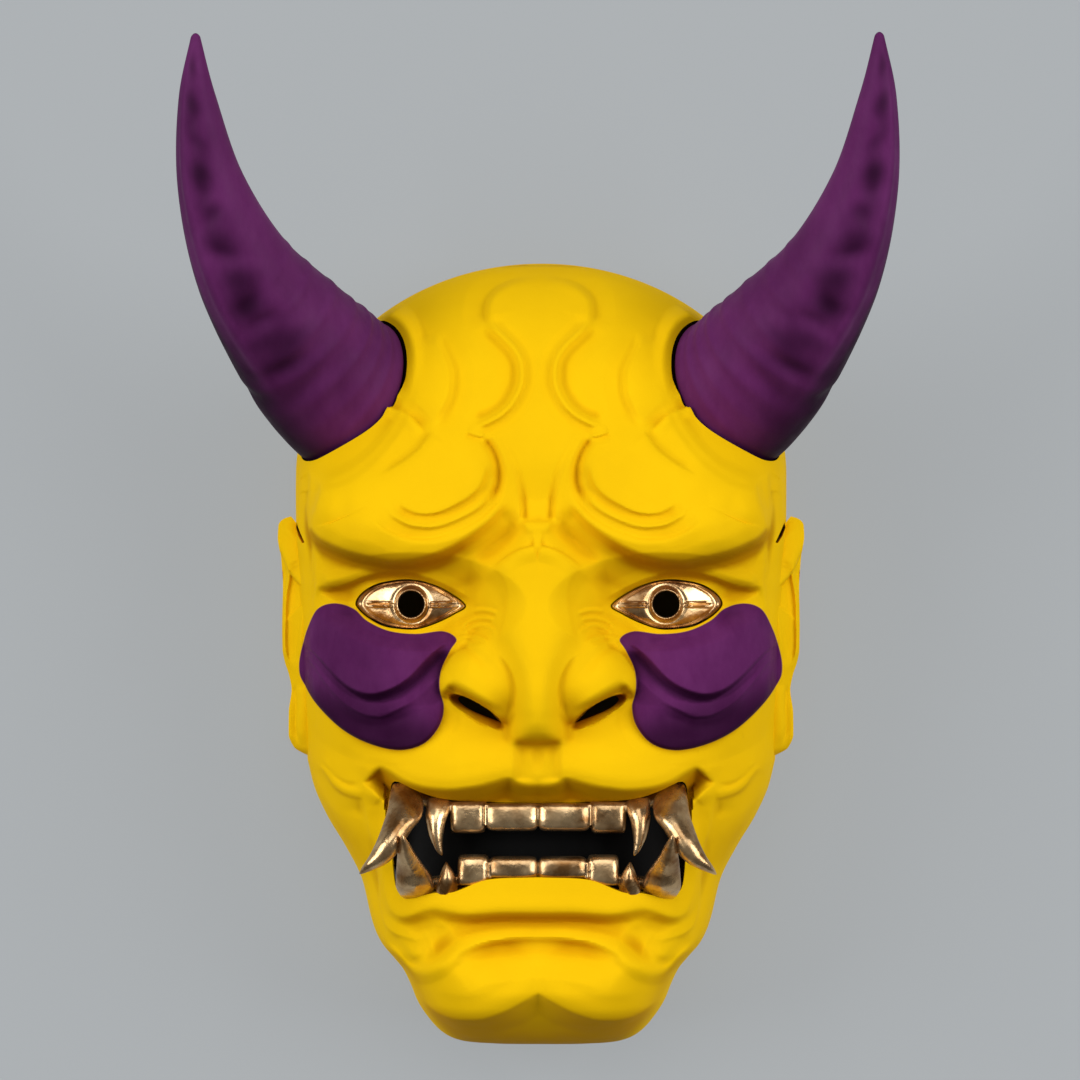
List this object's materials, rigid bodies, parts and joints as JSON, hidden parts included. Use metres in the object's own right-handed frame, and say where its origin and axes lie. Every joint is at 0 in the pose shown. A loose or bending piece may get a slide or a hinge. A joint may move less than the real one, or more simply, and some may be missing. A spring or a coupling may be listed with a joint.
{
  "type": "oni mask",
  "caption": "Hollow horned demon face mask that lies on its back rim, with seated horns, gilt eye inserts and gilt fangs.",
  "frame": {"origin": "middle of the mask's length and width, level with its back rim", "axes": "+Z out of the face, away from the rim it lies on; +Y towards the horn tips; +X to the viewer's right"},
  "size_m": [0.2154, 0.307, 0.1159],
  "materials": {
    "yellow_paint": "satin-matte golden yellow paint, with purple paint on the cheeks",
    "purple_paint": "satin deep purple paint",
    "gilt": "hand-worked gilt with small dents and dark recesses",
    "black_lining": "matte black"
  },
  "bodies": {
    "root": {"face_shell": "yellow_paint", "horn_left": "purple_paint", "horn_right": "purple_paint", "eye_left": "gilt", "eye_right": "gilt", "upper_teeth": "gilt", "lower_teeth": "gilt", "mouth_backing": "black_lining"}
  },
  "joints": []
}
